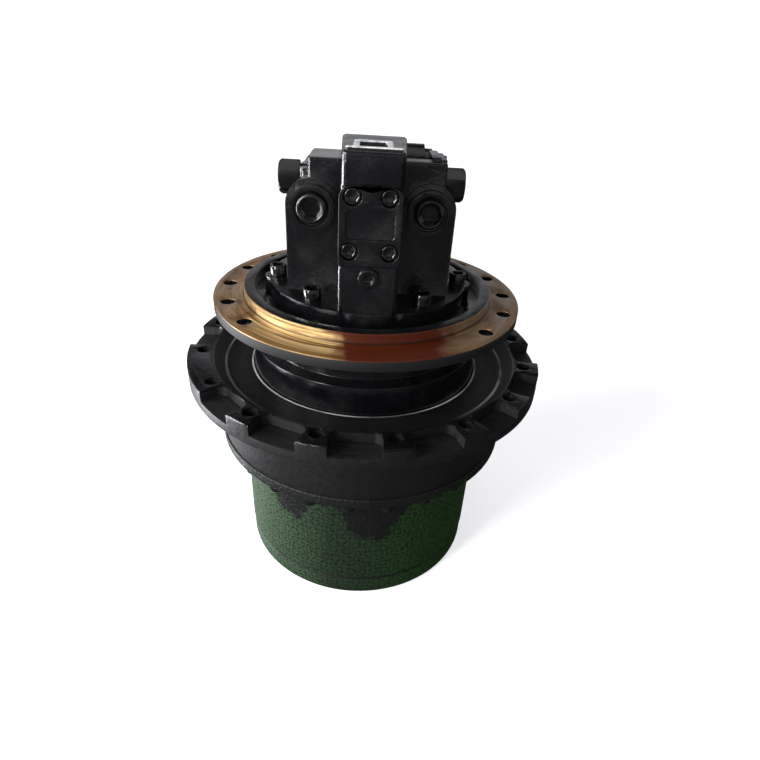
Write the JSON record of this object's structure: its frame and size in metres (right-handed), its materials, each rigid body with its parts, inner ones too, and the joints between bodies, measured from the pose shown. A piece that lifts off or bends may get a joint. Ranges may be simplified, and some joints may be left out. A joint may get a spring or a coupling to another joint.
{
  "type": "excavator final drive",
  "caption": "Track drive for an excavator: a hydraulic travel motor with valve block on a two-stage planetary reduction inside a turning sprocket drum, standing on its end cover.",
  "frame": {"origin": "centre of the frame flange's mounting face, on the drive axis", "axes": "+Z along the drive axis towards the motor, -Y towards the valve cover, +X to the right seen from the valve cover side"},
  "size_m": [0.484, 0.484, 0.595],
  "materials": {
    "black_enamel_case": "gloss black enamel over cast iron; the frame flange is bare machined steel under amber oil",
    "black_enamel_valve": "gloss black enamel over rough cast iron",
    "black_enamel_drum": "gloss black enamel, satin on the lower wall",
    "green_enamel": "mottled green enamel with black overspray at the top",
    "green_cover_enamel": "mottled green enamel",
    "painted_bolts": "black enamel over steel",
    "painted_plugs": "black enamel over steel",
    "gear_steel": "hardened and ground",
    "machined_steel": "turned and milled",
    "bearing_steel": "ground and lapped",
    "spring_steel": "oil tempered",
    "bronze": "machined bronze",
    "seal_rubber": "moulded nitrile"
  },
  "bodies": {
    "motor_side": {"spindle_housing": "black_enamel_case", "rear_cover": "black_enamel_valve", "rear_cover_bolts": "painted_bolts", "valve_cover_plate": "black_enamel_valve", "valve_cover_bolts": "painted_bolts", "left_spool_plug": "painted_plugs", "right_spool_plug": "painted_plugs", "spool_springs": "spring_steel", "main_port_plugs": "painted_plugs", "small_port_plugs": "painted_plugs", "speed_valve_cap": "painted_plugs", "brake_disc_spring": "spring_steel", "brake_separator_plates": "machined_steel", "swash_plate": "machined_steel", "swash_pivot_balls": "bearing_steel", "valve_plate": "bronze", "shaft_bearing_outer_ring": "bearing_steel", "shaft_rear_bush": "bronze", "shaft_seal": "seal_rubber", "second_carrier": "machined_steel", "second_carrier_bolts": "machined_steel", "second_planet_pins": "machined_steel", "second_thrust_washers": "bronze", "main_bearing_inner_rings": "bearing_steel", "fixed_seal_ring": "bearing_steel", "fixed_seal_o_ring": "seal_rubber"},
    "drum": {"sprocket_drum": "black_enamel_drum", "ring_gear": "green_enamel", "ring_gear_bolts": "painted_bolts", "end_cover": "green_cover_enamel", "end_cover_bolts": "painted_bolts", "end_cover_plugs": "painted_plugs", "main_bearing_outer_rings": "bearing_steel", "rotating_seal_ring": "bearing_steel", "rotating_seal_o_ring": "seal_rubber"},
    "motor_rotor": {"motor_shaft": "machined_steel", "cylinder_block": "machined_steel", "pistons": "machined_steel", "piston_shoes": "bronze", "shoe_retainer": "machined_steel", "brake_friction_plates": "machined_steel", "shaft_bearing_inner_ring": "bearing_steel", "shaft_coupling": "machined_steel", "first_sun_gear": "gear_steel"},
    "first_stage_carrier": {"first_carrier": "machined_steel", "first_planet_pins": "machined_steel", "first_thrust_washers": "bronze", "second_sun_gear": "gear_steel"},
    "main_bearing_roller_set": {"main_bearing_rollers": "bearing_steel"},
    "shaft_bearing_roller_set": {"shaft_bearing_rollers": "bearing_steel"},
    "counterbalance_spool": {"counterbalance_spool": "machined_steel"},
    "speed_change_spool": {"speed_change_spool": "machined_steel"},
    "speed_piston": {"speed_piston": "machined_steel"},
    "brake_piston": {"brake_piston": "machined_steel"},
    "first_planet_a": {"first_planet_gear_a": "gear_steel"},
    "first_planet_b": {"first_planet_gear_b": "gear_steel"},
    "first_planet_c": {"first_planet_gear_c": "gear_steel"},
    "second_planet_a": {"second_planet_gear_a": "gear_steel"},
    "second_planet_b": {"second_planet_gear_b": "gear_steel"},
    "second_planet_c": {"second_planet_gear_c": "gear_steel"}
  },
  "joints": [
    {"name": "drum_spin", "type": "hinge", "parent": "motor_side", "child": "drum", "pos_m": [0, 0, 0], "axis": [0, 0, 1], "continuous": true},
    {"name": "first_carrier_spin", "type": "hinge", "parent": "motor_side", "child": "first_stage_carrier", "pos_m": [0, 0, 0], "axis": [0, 0, 1], "continuous": true},
    {"name": "rotor_spin", "type": "hinge", "parent": "motor_side", "child": "motor_rotor", "pos_m": [0, 0, 0], "axis": [0, 0, 1], "continuous": true},
    {"name": "main_rollers_orbit", "type": "hinge", "parent": "motor_side", "child": "main_bearing_roller_set", "pos_m": [0, 0, 0], "axis": [0, 0, 1], "continuous": true},
    {"name": "shaft_rollers_orbit", "type": "hinge", "parent": "motor_side", "child": "shaft_bearing_roller_set", "pos_m": [0, 0, 0], "axis": [0, 0, 1], "continuous": true},
    {"name": "first_planet_a_spin", "type": "hinge", "parent": "first_stage_carrier", "child": "first_planet_a", "pos_m": [0, -0.084, -0.327], "axis": [0, 0, 1], "continuous": true},
    {"name": "second_planet_a_spin", "type": "hinge", "parent": "motor_side", "child": "second_planet_a", "pos_m": [0.07794, -0.045, -0.241], "axis": [0, 0, 1], "continuous": true},
    {"name": "first_planet_b_spin", "type": "hinge", "parent": "first_stage_carrier", "child": "first_planet_b", "pos_m": [0.07275, 0.042, -0.327], "axis": [0, 0, 1], "continuous": true},
    {"name": "second_planet_b_spin", "type": "hinge", "parent": "motor_side", "child": "second_planet_b", "pos_m": [0, 0.09, -0.241], "axis": [0, 0, 1], "continuous": true},
    {"name": "first_planet_c_spin", "type": "hinge", "parent": "first_stage_carrier", "child": "first_planet_c", "pos_m": [-0.07275, 0.042, -0.327], "axis": [0, 0, 1], "continuous": true},
    {"name": "second_planet_c_spin", "type": "hinge", "parent": "motor_side", "child": "second_planet_c", "pos_m": [-0.07794, -0.045, -0.241], "axis": [0, 0, 1], "continuous": true},
    {"name": "counterbalance_slide", "type": "slide", "parent": "motor_side", "child": "counterbalance_spool", "axis": [1, 0, 0], "range_m": [-0.008, 0.008], "stiffness_N_per_m": 4000, "deforming": ["spool_springs"]},
    {"name": "speed_spool_slide", "type": "slide", "parent": "motor_side", "child": "speed_change_spool", "axis": [1, 0, 0], "range_m": [0, 0.005], "stiffness_N_per_m": 2000},
    {"name": "speed_piston_slide", "type": "slide", "parent": "motor_side", "child": "speed_piston", "axis": [0, 0, -1], "range_m": [0, 0.008], "stiffness_N_per_m": 2000, "springref_m": -0.002},
    {"name": "brake_release", "type": "slide", "parent": "motor_side", "child": "brake_piston", "axis": [0, 0, 1], "range_m": [0, 0.0025], "stiffness_N_per_m": 20000, "springref_m": -0.001, "deforming": ["brake_disc_spring"]}
  ],
  "couplings": [
    {"joint": "first_carrier_spin", "follows": "drum_spin", "ratio": -4},
    {"joint": "rotor_spin", "follows": "drum_spin", "ratio": -34},
    {"joint": "main_rollers_orbit", "follows": "drum_spin", "ratio": 0.525},
    {"joint": "shaft_rollers_orbit", "follows": "drum_spin", "ratio": -14.688},
    {"joint": "first_planet_a_spin", "follows": "drum_spin", "ratio": 12},
    {"joint": "second_planet_a_spin", "follows": "drum_spin", "ratio": 2.6667},
    {"joint": "first_planet_b_spin", "follows": "drum_spin", "ratio": 12},
    {"joint": "second_planet_b_spin", "follows": "drum_spin", "ratio": 2.6667},
    {"joint": "first_planet_c_spin", "follows": "drum_spin", "ratio": 12},
    {"joint": "second_planet_c_spin", "follows": "drum_spin", "ratio": 2.6667}
  ]
}
